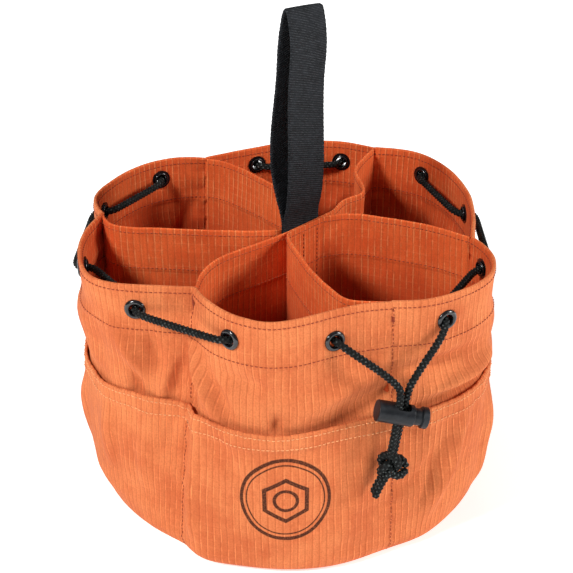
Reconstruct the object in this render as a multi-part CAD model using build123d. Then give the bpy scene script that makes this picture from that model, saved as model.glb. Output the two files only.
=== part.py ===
from build123d import *
import os
from math import atan2, cos, degrees, pi, radians, sin, tan

# A round canvas tool bag that stands in a bucket: six lobed compartments around a flat sewn core,
# a webbing handle loop on the core, a drawstring through twelve eyelets below the rim, a barrel
# cord lock on the two drawstring ends, and a band of sewn pockets round the outside.
# Millimetres, +Z up, origin at the centre of the base on the floor.

# ---- canvas ------------------------------------------------------------------------------------
RIM_Z = 172.0                 # height of the rim
BASE_T = 2.5                  # base disc: two layers of canvas
FOOT_PINCH = 3.0              # the wall's foot is drawn in this much at a seam
WALL_T = 1.3                  # wall canvas, measured along the radius
DIVIDER_T = 1.0               # divider canvas
DIVIDER_TOP = 171.0
POCKET_Z = 101.0              # mouth of the outer pockets
POCKET_T = 1.2
POCKET_BULGE = {               # how far each pocket's mouth stands off the wall in mid lobe
    "right_back": 7.0, "back": 7.0, "left_back": 1.0, "left_front": 4.2, "front": 3.4, "right": 0.6,
}
GAP = 0.3                     # clearance between separate cloth pieces

# The rim's outline, seam by seam: (angle in degrees, radius). The first and last point of a lobe
# are seams, and the points between them are the lobe's round front.
LOBES = {
    "right_back": [(16, 125), (24, 125.5), (34, 123), (47, 115), (60, 109), (73, 108)],
    "back": [(73, 108), (81, 117), (94, 124), (107, 125), (119, 122), (128, 113)],
    "left_back": [(128, 113), (138, 119), (153, 127), (166, 129), (181, 108), (192, 95)],
    "left_front": [(192, 95), (199, 104), (209, 115), (221, 120), (240, 109), (256, 114)],
    "front": [(256, 114), (267, 126), (277, 132), (287, 134), (297, 126), (305, 113)],
    "right": [(305, 113), (318, 115), (334, 122), (350, 130), (364, 133.5), (376, 125)],
}
# Radius of the wall's foot in the middle of each lobe
FOOT_R = {
    "right_back": 119.0,
    "back": 118.0,
    "left_back": 113.0,
    "left_front": 120.0,
    "front": 121.0,
    "right": 123.0,
}
# Two eyelets in each lobe: (fraction of the lobe's length along the rim, height of the hole)
EYELET_AT = {
    "right_back": ((0.19, 158.0), (0.69, 160.0)),
    "back": ((0.25, 159.0), (0.72, 157.0)),
    "left_back": ((0.29, 157.0), (0.76, 156.5)),
    "left_front": ((0.28, 156.5), (0.74, 153.0)),
    "front": ((0.27, 156.5), (0.88, 157.0)),
    "right": ((0.39, 156.5), (0.77, 158.0)),
}

# ---- core and dividers -------------------------------------------------------------------------
CORE_X0 = -8.0                # left end of the flat core
CORE_X1 = 22.0                # right end: the core is as wide as the webbing
FRONT_Y = -9.9                # the three divider strips lie in layers at the core
MIDDLE_Y = -8.6
BACK_Y = -3.4
# Each strip runs from one seam to the core, along it, and on to another seam.
# Points between the seam and the core, at the top edge and at the foot.
DIVIDERS = {
    "divider_front": {
        "core_y": FRONT_Y,
        "seams": ("front_left", "front_right"),
        "left_top": [(-35, -100), (-42, -89), (-40, -75), (-33, -55), (-21, -31), (-12, -15)],
        "left_foot": [(-33, -102), (-37, -92), (-36, -77), (-30, -55), (-20, -31), (-12, -15)],
        "right_top": [(33, -15), (47, -35), (59, -65)],
        "right_foot": [(33, -15), (46, -36), (57, -62)],
    },
    "divider_middle": {
        "core_y": MIDDLE_Y,
        "seams": ("left", "right"),
        "left_top": [(-76, -8), (-56, -3), (-34, -5)],
        "left_foot": [(-80, -14), (-56, -6), (-34, -5)],
        "right_top": [(36, -7.5), (50, -3), (64, -5), (75, 4), (86, 20), (98, 27)],
        "right_foot": [(36, -7.5), (52, -3), (66, 4), (80, 14), (94, 22)],
    },
    "divider_back": {
        "core_y": BACK_Y,
        "seams": ("back_left", "back_right"),
        "left_top": [(-73, 76), (-57, 51), (-42, 32), (-24, 11)],
        "left_foot": [(-67, 75), (-54, 52), (-40, 32), (-24, 11)],
        "right_top": [(30, 11), (34, 40), (37, 76), (35, 95)],
        "right_foot": [(30, 11), (34, 40), (35, 72), (33, 92)],
    },
}
SEAM_POINTS = {               # seam name: the lobe that starts there
    "right": "right_back",
    "back_right": "back",
    "back_left": "left_back",
    "left": "left_front",
    "front_left": "front",
    "front_right": "right",
}

# ---- handle ------------------------------------------------------------------------------------
WEBBING_T = 1.8
WEBBING_Y = -6.0              # middle of the two webbing legs in the core
HANDLE_PIVOT_Z = 175.0        # the webbing bends here when the handle falls over
ANCHOR_Z0 = 60.0              # the webbing ends are sewn in the core from here up
# (y, z) along the middle of the webbing, from the front leg over the top to the back leg
HANDLE_LINE = [
    (-6.95, 177.5), (-8.6, 185), (-10.3, 198), (-10.6, 225), (-10.6, 304.4),
    (-5.0, 304.4), (-1.0, 265), (3.2, 230), (3.2, 214), (1.2, 199), (-2.6, 186),
    (-5.05, 177.5),
]

# ---- eyelets -----------------------------------------------------------------------------------
EYELET_R = 6.25               # flange
EYELET_HOLE_R = 3.2
EYELET_BARREL_R = 3.6
WALL_HOLE_R = 3.8
EYELET_SEAT = 1.25            # flange and washer seat, from the middle of the wall
FLANGE_T = 1.2
WASHER_T = 0.6
LIP_T = 0.8
LIP_R = 4.7

# ---- drawstring --------------------------------------------------------------------------------
CORD_D = 4.4
INNER_REACH = 5.5             # a turn of the cord beside an eyelet, from the middle of the wall
OUTER_REACH = 7.2
FREE_REACH = 6.0              # the same for the two free ends
CORD_EXIT = 3.0               # the free ends start this far inside the wall's middle
LOCK_ENTRY = 11.5             # the cords run straight from here, above the middle of the lock
ENTRY_RUN = 10.5              # length of the last slanting run above that

# ---- cord lock ---------------------------------------------------------------------------------
LOCK_AT = Vector(-35.4, -125.1, 108.1)       # middle of the cord hole
LOCK_AXIS = Vector(0.762, -0.589, -0.27).normalized()
KNOT_TOP = Vector(-39.0, -122.3, 79.0)
LOCK_R = 6.3
LOCK_LENGTH = 21.5
LOCK_BORE_R = 5.1
LOCK_END_T = 1.5
HOLE_FROM_END = 14.4          # closed end of the barrel to the middle of the cord hole
PLUNGER_R = 4.95
PLUNGER_START = 6.8           # inner end of the plunger, from the closed end
PLUNGER_FLANGE = 26.4
LOCK_TOTAL = 30.0
BUTTON_TRAVEL = 2.6
HOLE_HALF = 4.7               # half of the cord hole along the barrel
HOLE_DEPTH = 8.4              # size of the cord hole across the barrel
SPRING_R = 3.4
SPRING_WIRE_R = 0.3
PAIR_AXIAL = 1.46             # the two cords lie side by side, turned 50 degrees
PAIR_DEPTH = 1.74

# ---- knot --------------------------------------------------------------------------------------
KNOT_SIZE = (12.5, 11.0, 12.0)
KNOT_MIDDLE = Vector(-38.7, -122.6, 73.2)
TAIL_END = Vector(-49.4, -119.0, 56.1)
TIP_SPACING = 4.7             # the two ends hang one behind the other
TIP_BOW = Vector(-1.5, 0.5, 1.5)             # the tips hang in a slight bow


# ---- outline helpers ---------------------------------------------------------------------------
def on_circle(radius, angle, z=0.0):
    return Vector(radius * cos(radians(angle)), radius * sin(radians(angle)), z)


def seam_foot_radius(lobe):
    """Foot radius at the seam where a lobe starts, shared with the lobe before it."""
    names = list(LOBES)
    before = names[names.index(lobe) - 1]
    return (FOOT_R[lobe] + FOOT_R[before]) / 2 - FOOT_PINCH


def foot_radii(lobe):
    names = list(LOBES)
    following = names[(names.index(lobe) + 1) % len(names)]
    middle = [FOOT_R[lobe]] * (len(LOBES[lobe]) - 2)
    return [seam_foot_radius(lobe)] + middle + [seam_foot_radius(following)]


def lobe_points(lobe, z, inset=0.0, bulges=None):
    """Outline points of one lobe of the wall's outer face at height z."""
    rim = LOBES[lobe]
    share = (z - BASE_T) / (RIM_Z - BASE_T)
    first, last = rim[0][0], rim[-1][0]
    bulge = bulges[lobe] if bulges else 0.0
    points = []
    for (angle, radius), foot in zip(rim, foot_radii(lobe)):
        belly = bulge * sin(pi * (angle - first) / (last - first))
        points.append(on_circle(foot + (radius - foot) * share - inset + belly, angle, z))
    return points


def outline(z, inset=0.0, bulges=None):
    return Wire([Spline(lobe_points(lobe, z, inset, bulges)) for lobe in LOBES])


def tube_between(z0, z1, inset0, inset1, thickness, bulges=None):
    """A lobed ring of cloth from z0 up to z1."""
    outer_top = Face(outline(z1, inset1, bulges))
    inner_top = Face(outline(z1, inset1 + thickness, bulges))
    outer = loft([Face(outline(z0, inset0)), outer_top], ruled=True)
    inner = loft([Face(outline(z0, inset0 + thickness)), inner_top], ruled=True)
    return outer - inner


def wall_frame(lobe, fraction, z):
    """Place on the middle of the wall with its local Z pointing straight out of the cloth."""
    foot = Spline(lobe_points(lobe, BASE_T, WALL_T / 2))
    rim = Spline(lobe_points(lobe, RIM_Z, WALL_T / 2))
    share = (z - BASE_T) / (RIM_Z - BASE_T)
    low, high = foot @ fraction, rim @ fraction
    up = (high - low).normalized()
    along = rim % fraction
    return Plane(origin=low + (high - low) * share, x_dir=along, z_dir=along.cross(up))


# ---- canvas pieces -----------------------------------------------------------------------------
def make_base():
    return extrude(Face(outline(BASE_T)), -BASE_T)


def make_wall(eyelet_planes):
    wall = tube_between(BASE_T, RIM_Z, 0.0, 0.0, WALL_T)
    for plane in eyelet_planes:
        wall -= plane.location * Cylinder(WALL_HOLE_R, 12)
    return wall


def make_pocket_band():
    stand_off = GAP + POCKET_T
    return tube_between(BASE_T + GAP, POCKET_Z, -stand_off, -stand_off, POCKET_T, POCKET_BULGE)


def seam_point(name, radius_inset, rim):
    lobe = SEAM_POINTS[name]
    angle, radius = LOBES[lobe][0]
    reach = radius if rim else seam_foot_radius(lobe)
    return on_circle(reach - radius_inset, angle)


def divider_section(spec, edge, z):
    """Plan section of one divider strip: seam, wing, core, wing, seam."""
    inset = WALL_T + GAP + 0.4
    start = seam_point(spec["seams"][0], inset, edge == "top")
    finish = seam_point(spec["seams"][1], inset, edge == "top")
    core_left = Vector(CORE_X0, spec["core_y"])
    core_right = Vector(CORE_X1, spec["core_y"])
    left = [start] + [Vector(*p) for p in spec["left_" + edge]] + [core_left]
    right = [core_right] + [Vector(*p) for p in spec["right_" + edge]] + [finish]
    wings = [Spline(left), Line(core_left, core_right), Spline(right)]
    return [Pos(0, 0, z) * trace(wing, DIVIDER_T).face() for wing in wings]


def make_divider(spec):
    feet = divider_section(spec, "foot", BASE_T)
    tops = divider_section(spec, "top", DIVIDER_TOP)
    panels = [loft([foot, top], ruled=True) for foot, top in zip(feet, tops)]
    return panels[0] + panels[1] + panels[2]


# ---- handle ------------------------------------------------------------------------------------
def make_handle_loop():
    points = [Vector(y, z) for y, z in HANDLE_LINE]
    line = FilletPolyline(*points, radius=round_radii(points))
    side = Plane(origin=(CORE_X0, 0, 0), x_dir=(0, 1, 0), z_dir=(1, 0, 0))
    return extrude(side.location * trace(line, WEBBING_T), CORE_X1 - CORE_X0)


def make_handle_anchor():
    height = HANDLE_PIVOT_Z - GAP - ANCHOR_Z0
    middle = (CORE_X0 + CORE_X1) / 2
    block = Box(CORE_X1 - CORE_X0, 2 * WEBBING_T + 0.1, height)
    return Pos(middle, WEBBING_Y, ANCHOR_Z0 + height / 2) * block


# ---- eyelets -----------------------------------------------------------------------------------
def make_eyelet():
    flange = Pos(0, 0, EYELET_SEAT + FLANGE_T / 2) * Cylinder(EYELET_R, FLANGE_T)
    flange = fillet(flange.edges().group_by(Axis.Z)[-1], FLANGE_T * 0.7)
    back = -EYELET_SEAT - WASHER_T - LIP_T
    length = EYELET_SEAT + 0.2 - back
    barrel = Pos(0, 0, back + length / 2) * Cylinder(EYELET_BARREL_R, length)
    lip = Pos(0, 0, back + LIP_T / 2) * Cylinder(LIP_R, LIP_T)
    lip = fillet(lip.edges().group_by(Axis.Z)[0], LIP_T * 0.5)
    return flange + barrel + lip - Cylinder(EYELET_HOLE_R, 20)


def make_washer():
    ring = Cylinder(EYELET_R - 0.2, WASHER_T) - Cylinder(EYELET_BARREL_R + 0.1, WASHER_T)
    return Pos(0, 0, -EYELET_SEAT - WASHER_T / 2) * ring


# ---- cords -------------------------------------------------------------------------------------
def round_radii(points):
    """The largest arc that each corner's two runs allow."""
    radii = []
    for before, corner, after in zip(points, points[1:], points[2:]):
        run_in = corner - before
        run_out = after - corner
        turn = radians(run_in.get_angle(run_out))
        radii.append(0.45 * min(run_in.length, run_out.length) / tan(turn / 2))
    return radii


def cord(name, points):
    radii = round_radii(points)
    path = FilletPolyline(*points, radius=radii)
    start = Plane(origin=path @ 0, z_dir=path % 0)
    tube = sweep(start * Circle(CORD_D / 2), path=path)
    section = pi * (CORD_D / 2) ** 2
    print(name, "length", round(path.length, 1), "radii", [round(r, 1) for r in radii])
    print(name, "volume / (section x length)", round(tube.volume / (section * path.length), 4))
    return tube


def beside(plane, distance):
    return plane.origin + plane.z_dir * distance


def pair_offset(side):
    """Direction of the doubled cord at the lock, and one cord's place beside the middle."""
    down = (KNOT_TOP - LOCK_AT).normalized()
    depth = LOCK_AXIS.cross(down).normalized()
    return down, LOCK_AXIS * (side * PAIR_AXIAL) + depth * (side * PAIR_DEPTH)


def drawstring_route(planes):
    """From inside the eyelet left of the front-left seam, round the bag, to inside the one right of it."""
    order = ["left_front", "left_back", "back", "right_back", "right", "front"]
    stops = []
    for lobe in order:
        near, far = planes[lobe][1], planes[lobe][0]
        stops += [near, far]
    route = [beside(stops[0], -CORD_EXIT), beside(stops[0], -CORD_EXIT - INNER_REACH)]
    inside = True
    for plane in stops[1:-1]:
        turns = [beside(plane, -INNER_REACH), beside(plane, OUTER_REACH)]
        route += turns if inside else turns[::-1]
        inside = not inside
    route += [beside(stops[-1], -CORD_EXIT - INNER_REACH), beside(stops[-1], -CORD_EXIT)]
    return route


def free_end_route(plane, side):
    """Out of an eyelet, across to the cord lock, through it and on to the knot."""
    down, offset = pair_offset(side)
    outside = beside(plane, FREE_REACH)
    entry = LOCK_AT + offset - down * LOCK_ENTRY
    half_turn = ((outside - entry).normalized() - down).normalized()
    return [
        beside(plane, -CORD_EXIT),
        outside,
        entry + half_turn * ENTRY_RUN,
        entry,
        KNOT_TOP + offset,
    ]


def tip_route(side):
    """A cord end below the knot."""
    down = pair_offset(side)[0]
    offset = LOCK_AXIS.cross(down).normalized() * (side * TIP_SPACING / 2)
    return [KNOT_MIDDLE + offset, (KNOT_MIDDLE + TAIL_END) / 2 + offset + TIP_BOW, TAIL_END + offset]


# ---- cord lock ---------------------------------------------------------------------------------
def lock_plane():
    """Local X runs along the barrel from its closed end, local Z along the cord hole."""
    down = (KNOT_TOP - LOCK_AT).normalized()
    across = LOCK_AXIS.cross(down).normalized()
    hole = across.cross(LOCK_AXIS)
    return Plane(origin=LOCK_AT - LOCK_AXIS * HOLE_FROM_END, x_dir=LOCK_AXIS, z_dir=hole)


def rod(radius, start, finish):
    return Pos((start + finish) / 2, 0, 0) * Rot(0, 90, 0) * Cylinder(radius, finish - start)


def cord_hole(first, last, depth):
    middle = Pos((first + last) / 2, 0, 0)
    return middle * extrude(RectangleRounded(last - first, depth, CORD_D / 2), 20, both=True)


def make_lock_barrel():
    body = rod(LOCK_R, 0, LOCK_LENGTH)
    body = fillet(body.edges().filter_by(GeomType.CIRCLE), 0.6)
    body -= rod(LOCK_BORE_R, LOCK_END_T, LOCK_LENGTH + 1)
    return body - cord_hole(HOLE_FROM_END - HOLE_HALF, HOLE_FROM_END + HOLE_HALF, HOLE_DEPTH)


def make_lock_plunger():
    stem = rod(PLUNGER_R, PLUNGER_START, PLUNGER_FLANGE)
    flange = rod(LOCK_R, PLUNGER_FLANGE, LOCK_TOTAL)
    flange = fillet(flange.edges().filter_by(GeomType.CIRCLE), 0.5)
    slot = cord_hole(HOLE_FROM_END - HOLE_HALF + 0.2, HOLE_FROM_END + HOLE_HALF + BUTTON_TRAVEL - 0.2, HOLE_DEPTH)
    return stem + flange - slot


def make_lock_spring():
    length = PLUNGER_START - LOCK_END_T - 2 * SPRING_WIRE_R - 0.04
    coil = Helix(pitch=length / 3, height=length, radius=SPRING_R)
    wire = sweep(Plane(origin=coil @ 0, z_dir=coil % 0) * Circle(SPRING_WIRE_R), path=coil, is_frenet=True)
    return Pos(LOCK_END_T + SPRING_WIRE_R + 0.02, 0, 0) * Rot(0, 90, 0) * wire


# ---- knot --------------------------------------------------------------------------------------
def make_knot():
    """Overhand knot in both cords: a lumpy ball, seen as one closed body."""
    down = (KNOT_TOP - LOCK_AT).normalized()
    depth = LOCK_AXIS.cross(down).normalized()
    place = Plane(origin=KNOT_MIDDLE, x_dir=LOCK_AXIS, z_dir=LOCK_AXIS.cross(depth))
    ball = Sphere(1)
    return place.location * scale(ball, by=tuple(size / 2 for size in KNOT_SIZE))


# ---- assembly ----------------------------------------------------------------------------------
def main():
    os.makedirs("parts", exist_ok=True)
    planes = {
        lobe: [wall_frame(lobe, fraction, height) for fraction, height in spots]
        for lobe, spots in EYELET_AT.items()
    }
    eyelet_planes = [plane for pair in planes.values() for plane in pair]
    for lobe, pair in planes.items():
        for plane in pair:
            spot = plane.origin
            print(lobe, "eyelet", [round(v, 1) for v in spot], "angle", round(degrees(atan2(spot.Y, spot.X)) % 360))

    pieces = {
        "base_panel": make_base(),
        "outer_wall": make_wall(eyelet_planes),
        "pocket_band": make_pocket_band(),
        "handle_loop": make_handle_loop(),
        "handle_anchor": make_handle_anchor(),
    }
    for name, spec in DIVIDERS.items():
        pieces[name] = make_divider(spec)
    eyelet, washer = make_eyelet(), make_washer()
    for number, plane in enumerate(eyelet_planes, 1):
        pieces["eyelet_%02d" % number] = plane.location * eyelet
        pieces["eyelet_washer_%02d" % number] = plane.location * washer

    pieces["drawstring"] = cord("drawstring", drawstring_route(planes))
    pieces["cord_end_left"] = cord("cord_end_left", free_end_route(planes["left_front"][1], -1))
    pieces["cord_end_right"] = cord("cord_end_right", free_end_route(planes["front"][0], 1))
    pieces["cord_knot"] = make_knot()
    pieces["cord_tip_left"] = cord("cord_tip_left", tip_route(-1))
    pieces["cord_tip_right"] = cord("cord_tip_right", tip_route(1))
    place = lock_plane().location
    pieces["lock_barrel"] = place * make_lock_barrel()
    pieces["lock_plunger"] = place * make_lock_plunger()
    pieces["lock_spring"] = place * make_lock_spring()

    for name, piece in pieces.items():
        export_step(piece, "parts/%s.step" % name)


main()
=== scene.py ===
import math

import bpy
import numpy as np
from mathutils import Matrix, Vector, noise


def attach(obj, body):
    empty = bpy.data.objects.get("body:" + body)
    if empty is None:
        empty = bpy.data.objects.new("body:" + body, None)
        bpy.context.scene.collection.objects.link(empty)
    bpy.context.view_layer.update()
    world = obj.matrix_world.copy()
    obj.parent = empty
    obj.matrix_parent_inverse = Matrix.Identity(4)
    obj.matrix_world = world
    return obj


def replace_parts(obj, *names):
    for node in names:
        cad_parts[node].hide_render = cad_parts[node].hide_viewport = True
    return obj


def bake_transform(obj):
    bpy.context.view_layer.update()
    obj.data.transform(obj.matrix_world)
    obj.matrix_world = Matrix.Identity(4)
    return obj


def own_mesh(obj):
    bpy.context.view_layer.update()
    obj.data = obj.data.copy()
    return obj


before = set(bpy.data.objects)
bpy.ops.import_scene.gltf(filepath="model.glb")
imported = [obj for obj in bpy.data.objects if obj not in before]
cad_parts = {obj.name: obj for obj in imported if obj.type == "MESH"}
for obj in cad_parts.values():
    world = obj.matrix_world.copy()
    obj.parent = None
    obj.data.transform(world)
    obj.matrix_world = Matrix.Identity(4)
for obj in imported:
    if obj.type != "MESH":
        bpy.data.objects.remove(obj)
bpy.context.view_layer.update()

# A round canvas tool bag for a bucket. Shapes are worked out in millimetres and scaled by MM.
MM = 0.001

# ---- the design, as in the CAD model -------------------------------------------------------------
RIM_Z = 172.0
BASE_T = 2.5
FOOT_PINCH = 3.0
WALL_T = 1.3
DIVIDER_T = 1.0
DIVIDER_TOP = 171.0
POCKET_Z = 101.0
POCKET_T = 1.2
POCKET_BULGE = {                # how far each pocket's mouth stands off the wall
    "right_back": 7.0, "back": 7.0, "left_back": 1.0, "left_front": 4.2, "front": 3.4, "right": 0.6,
}
GAP = 0.3
LOBES = {                      # rim outline of each lobe: (angle in degrees, radius)
    "right_back": [(16, 125), (24, 125.5), (34, 123), (47, 115), (60, 109), (73, 108)],
    "back": [(73, 108), (81, 117), (94, 124), (107, 125), (119, 122), (128, 113)],
    "left_back": [(128, 113), (138, 119), (153, 127), (166, 129), (181, 108), (192, 95)],
    "left_front": [(192, 95), (199, 104), (209, 115), (221, 120), (240, 109), (256, 114)],
    "front": [(256, 114), (267, 126), (277, 132), (287, 134), (297, 126), (305, 113)],
    "right": [(305, 113), (318, 115), (334, 122), (350, 130), (364, 133.5), (376, 125)],
}
FOOT_R = {
    "right_back": 119, "back": 118, "left_back": 113, "left_front": 120, "front": 121, "right": 123,
}
EYELET_AT = {                  # two per lobe: (fraction along the lobe, height)
    "right_back": [(0.19, 158), (0.69, 160)],
    "back": [(0.25, 159), (0.72, 157)],
    "left_back": [(0.29, 157), (0.76, 156.5)],
    "left_front": [(0.28, 156.5), (0.74, 153)],
    "front": [(0.27, 156.5), (0.88, 157)],
    "right": [(0.39, 156.5), (0.77, 158)],
}
SEAM_LOBES = {                 # seam name: the lobe that starts there
    "right": "right_back", "back_right": "back", "back_left": "left_back",
    "left": "left_front", "front_left": "front", "front_right": "right",
}
CORE_X0, CORE_X1 = -8.0, 22.0
DIVIDERS = {
    "divider_front": {
        "core_y": -9.9,
        "seams": ("front_left", "front_right"),
        "left_top": [(-35, -100), (-42, -89), (-40, -75), (-33, -55), (-21, -31), (-12, -15)],
        "left_foot": [(-33, -102), (-37, -92), (-36, -77), (-30, -55), (-20, -31), (-12, -15)],
        "right_top": [(33, -15), (47, -35), (59, -65)],
        "right_foot": [(33, -15), (46, -36), (57, -62)],
    },
    "divider_middle": {
        "core_y": -8.6,
        "seams": ("left", "right"),
        "left_top": [(-76, -8), (-56, -3), (-34, -5)],
        "left_foot": [(-80, -14), (-56, -6), (-34, -5)],
        "right_top": [(36, -7.5), (50, -3), (64, -5), (75, 4), (86, 20), (98, 27)],
        "right_foot": [(36, -7.5), (52, -3), (66, 4), (80, 14), (94, 22)],
    },
    "divider_back": {
        "core_y": -3.4,
        "seams": ("back_left", "back_right"),
        "left_top": [(-73, 76), (-57, 51), (-42, 32), (-24, 11)],
        "left_foot": [(-67, 75), (-54, 52), (-40, 32), (-24, 11)],
        "right_top": [(30, 11), (34, 40), (37, 76), (35, 95)],
        "right_foot": [(30, 11), (34, 40), (35, 72), (33, 92)],
    },
}

# ---- drawstring, cord lock and knot, as in the CAD model -----------------------------------------
CORD_D = 4.4
INNER_REACH = 5.5
OUTER_REACH = 5.1
FREE_REACH = 6.0
CORD_EXIT = 3.0
LOCK_ENTRY = 11.5
ENTRY_RUN = 10.5
LOCK_AT = Vector((-35.4, -125.1, 108.1))
LOCK_AXIS = Vector((0.762, -0.589, -0.27)).normalized()
KNOT_TOP = Vector((-39.0, -122.3, 79.0))
KNOT_MIDDLE = Vector((-38.7, -122.6, 73.2))
TAIL_END = Vector((-49.4, -119.0, 56.1))
PAIR_AXIAL = 1.46
PAIR_DEPTH = 1.74
TIP_SPACING = 4.7
TIP_BOW = Vector((-1.5, 0.5, 1.5))

# ---- sewing, in mm -------------------------------------------------------------------------------
LOBE_COLUMNS = 76              # mesh columns across one lobe
FOOT_ROUND = 9.0               # radius of the soft edge round the base
FLOOR_GAP = 0.1                # no cloth goes lower than this
FOOT_LIFT = 2.2                # height of the wall's middle where it meets the base
HEM_Z = 141.0                  # the rim is folded over down to here
HEM_T = 2.4
POCKET_HEM = 12.0
POCKET_HEM_T = 2.2
DIVIDER_HEM_Z = 141.5
DIVIDER_HEM_T = 1.7
EYELET_CUT_R = 4.7             # canvas is cut away under an eyelet's flange
STITCH_LENGTH = 2.0
STITCH_PITCH = 2.75
STITCH_R = 0.27
EDGE_STITCH = 2.6              # a row of stitches runs this far below a folded edge
WALL_HEM_STITCH = 2.3          # and this far above the lower end of the wall's hem
POCKET_HEM_STITCH = 2.0
DIVIDER_HEM_STITCH = 2.2
ROW_STEP = 2.1                 # between the mesh rows of plain cloth

# ---- how the cloth hangs -------------------------------------------------------------------------
SLACK_DEPTH = 2.3              # the wall falls in this far between the pockets and the rim band
SEAM_REACH = 9.0               # a seam gathers the wall this far to each side
POCKET_SEAM_REACH = 8.0
LIP_DIP = 1.6                  # the pockets' mouth is drawn down this much at a seam
EYELET_CALM = (8.0, 20.0)      # cloth is flat within the first distance of an eyelet, free past the second
FOLD_DEPTH = 3.4               # the folds below are in units of this
POCKET_FOLD_DEPTH = 4.8
# Soft folds in the wall: lobe, place along the lobe and height in mm, direction of the fold in
# degrees from level, its length and width, and how far it comes out of the wall.
WALL_FOLDS = [
    ("left_back", 80, 124, 84, 20, 11.0, -1.5),
    ("left_back", 106, 126, -60, 15, 5.0, 1.5),
    ("left_back", 121, 130, -72, 13, 4.5, -1.5),
    ("left_back", 108, 106, -80, 10, 3.6, -1.6),
    ("left_back", 129, 113, 70, 14, 4.5, 1.3),
    ("left_back", 137, 116, 74, 16, 5.6, -1.15),
    ("left_back", 40, 118, -20, 30, 8.0, -1.2),
    ("left_front", 14, 124, -57, 24, 4.6, 1.9),
    ("left_front", 27, 117, -57, 17, 4.6, -1.4),
    ("left_front", 4, 112, -80, 15, 4.0, -1.5),
    ("left_front", 64, 103, 88, 7, 3.8, -1.5),
    ("left_front", 84, 121, 4, 26, 10.0, 1.2),
    ("left_front", 106, 122, 26, 26, 5.5, 1.4),
    ("left_front", 115, 108, 24, 19, 5.5, -1.6),
    ("left_front", 52, 128, -14, 26, 5.0, -0.9),
    ("front", 52, 114, 8, 34, 4.8, 2.0),
    ("front", 30, 128, 5, 24, 5.0, -1.5),
    ("front", 56, 104, 5, 26, 4.6, -1.3),
    ("front", 12, 116, 64, 14, 4.5, 1.1),
    ("front", 92, 126, 24, 22, 6.0, -1.2),
    ("right", 34, 122, -28, 32, 7.0, -1.6),
    ("right", 64, 116, 14, 28, 6.0, 1.4),
    ("right", 104, 114, 30, 34, 7.0, 1.6),
    ("right", 126, 122, 54, 18, 5.0, -1.5),
    ("right_back", 20, 124, -55, 18, 5.0, 1.5),
    ("right_back", 34, 116, -42, 24, 6.0, -1.5),
    ("right_back", 88, 112, 24, 30, 6.0, 1.6),
    ("right_back", 100, 124, 50, 16, 5.0, -1.4),
    ("back", 18, 122, -58, 18, 5.0, 1.5),
    ("back", 34, 114, -35, 26, 6.0, -1.5),
    ("back", 84, 114, 34, 28, 6.0, 1.5),
    ("back", 102, 124, 56, 15, 4.5, -1.5),
]
POCKET_FOLDS = [
    ("left_back", 98, 70, -82, 24, 4.6, -1.1),
    ("left_back", 84, 64, 86, 24, 6.5, 0.8),
    ("left_back", 115, 62, 84, 32, 9.0, 0.9),
    ("left_back", 133, 56, 80, 30, 4.8, -1.1),
    ("left_back", 92, 22, 30, 16, 4.5, -0.8),
    ("left_back", 40, 60, 80, 30, 8.0, 0.9),
    ("left_front", 12, 55, 88, 40, 5.5, 1.1),
    ("left_front", 31, 84, -58, 20, 5.0, -0.9),
    ("left_front", 26, 40, -74, 24, 6.0, -0.7),
    ("left_front", 122, 22, 70, 16, 3.6, -1.2),
    ("left_front", 112, 60, 72, 30, 7.0, 0.8),
    ("left_front", 64, 84, 4, 30, 7.0, -0.5),
    ("front", 40, 56, 66, 34, 8.0, 1.4),
    ("front", 17, 42, 64, 28, 4.8, -1.2),
    ("front", 60, 72, 60, 26, 6.0, -0.8),
    ("front", 88, 50, 84, 34, 8.0, 0.9),
    ("right", 16, 56, -64, 34, 6.0, 1.3),
    ("right", 70, 60, 84, 32, 9.0, -0.8),
    ("right", 128, 60, 60, 34, 6.0, 1.2),
    ("right_back", 16, 58, -64, 34, 6.0, 1.3),
    ("right_back", 84, 54, 70, 30, 7.0, -0.9),
    ("back", 16, 56, -66, 34, 6.0, 1.3),
    ("back", 56, 62, 84, 30, 8.0, -0.7),
    ("back", 98, 60, 64, 34, 6.0, 1.2),
]
SWELLS = [                     # where the drum bellies out: azimuth, half width in degrees, mm
    (147, 27, 5.6),
    (296, 20, 4.4),
]


# ---- lines and surfaces --------------------------------------------------------------------------
def distances(points):
    """How far along a polyline each of its points is."""
    return np.concatenate([[0], np.cumsum(np.linalg.norm(np.diff(points, axis=0), axis=1))])


def read_off(at, along, values):
    """Values given at some distances along a line, read off at others."""
    return np.stack([np.interp(at, along, column) for column in np.asarray(values).T], axis=-1)


class Line2:
    """A natural cubic through 2-D points, read by its share of the length."""

    def __init__(self, points, samples=600):
        points = np.array(points, float)
        u = distances(points)
        step = np.diff(u)
        n = len(points)
        system, slopes = np.eye(n), np.zeros((n, 2))
        for i in range(1, n - 1):
            system[i, i - 1:i + 2] = step[i - 1], 2 * (step[i - 1] + step[i]), step[i]
            rise = np.diff(points[i - 1:i + 2], axis=0) / step[i - 1:i + 1, None]
            slopes[i] = 6 * (rise[1] - rise[0])
        bend = np.linalg.solve(system, slopes)
        at = np.linspace(0, u[-1], samples)
        i = np.clip(np.searchsorted(u, at, side="right") - 1, 0, n - 2)
        a, b = (u[i + 1] - at)[:, None], (at - u[i])[:, None]
        span = step[i][:, None]
        curved = (bend[i] * a**3 + bend[i + 1] * b**3) / (6 * span)
        from_start = (points[i] / span - bend[i] * span / 6) * a
        from_end = (points[i + 1] / span - bend[i + 1] * span / 6) * b
        self.xy = curved + from_start + from_end
        self.along = distances(self.xy)
        self.length = self.along[-1]

    def at(self, share):
        return read_off(np.asarray(share) * self.length, self.along, self.xy)

    def direction(self, share):
        share = np.asarray(share)
        d = self.at(np.clip(share + 0.004, 0, 1)) - self.at(np.clip(share - 0.004, 0, 1))
        return d / np.linalg.norm(d, axis=-1, keepdims=True)


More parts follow.
